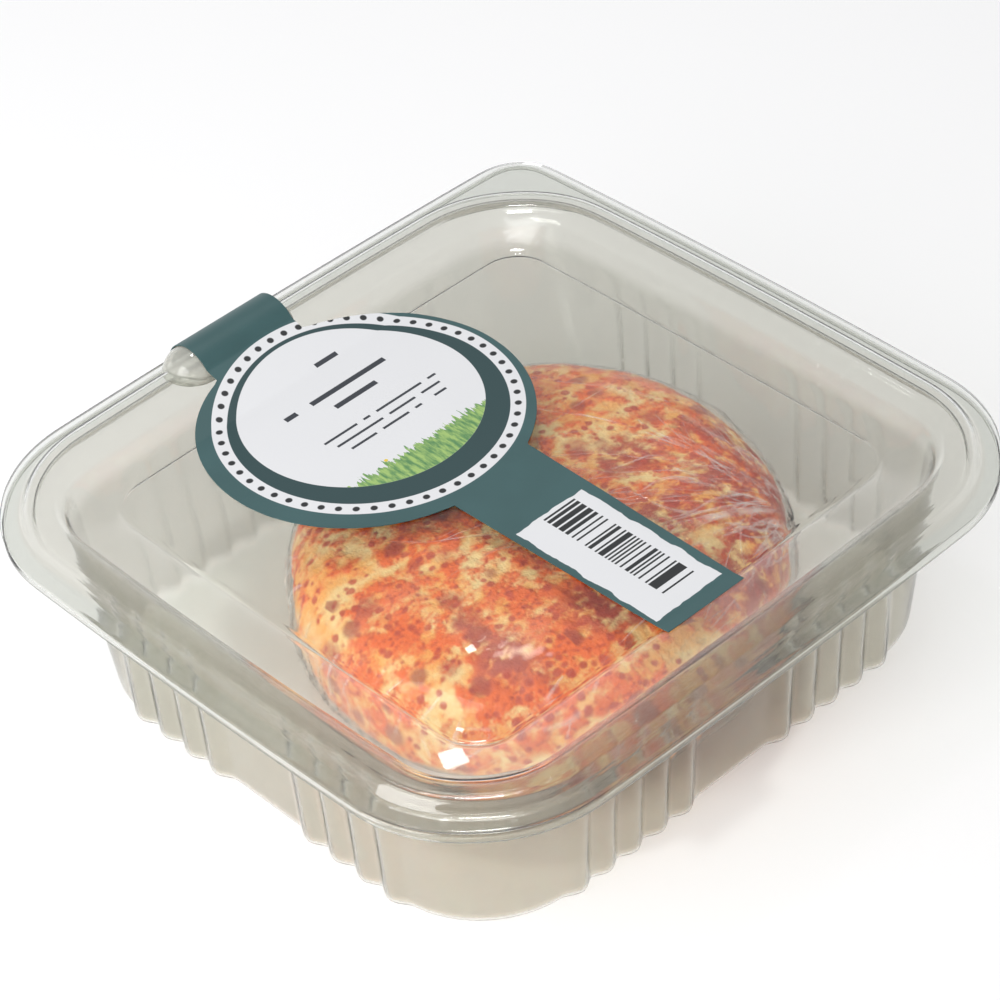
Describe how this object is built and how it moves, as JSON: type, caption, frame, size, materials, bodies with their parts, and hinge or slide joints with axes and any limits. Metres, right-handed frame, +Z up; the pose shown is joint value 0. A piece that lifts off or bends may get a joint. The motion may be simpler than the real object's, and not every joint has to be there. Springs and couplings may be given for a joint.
{
  "type": "paprika goat cheese in a clear box",
  "caption": "Round of fresh goat cheese coated in paprika and wrapped in clear film, in a shut clear hinged box with fluted walls and a paper label band.",
  "frame": {"origin": "middle of the tray's flat underside", "axes": "+Z up; +Y towards the hinge bulge and the label's round part; +X towards the side with the pull tab corner, which lies at +X +Y"},
  "size_m": [0.1388, 0.1352, 0.0414],
  "materials": {
    "clear_plastic": "clear glossy thermoformed sheet, slightly grey",
    "label_paper": "coated paper, slate green with white fields, low sheen",
    "cheese": "moist cream cheese under a mottled orange paprika coat"
  },
  "bodies": {
    "root": {"tray": "clear_plastic", "lid": "clear_plastic", "label": "label_paper", "cheese": "cheese"}
  },
  "joints": []
}
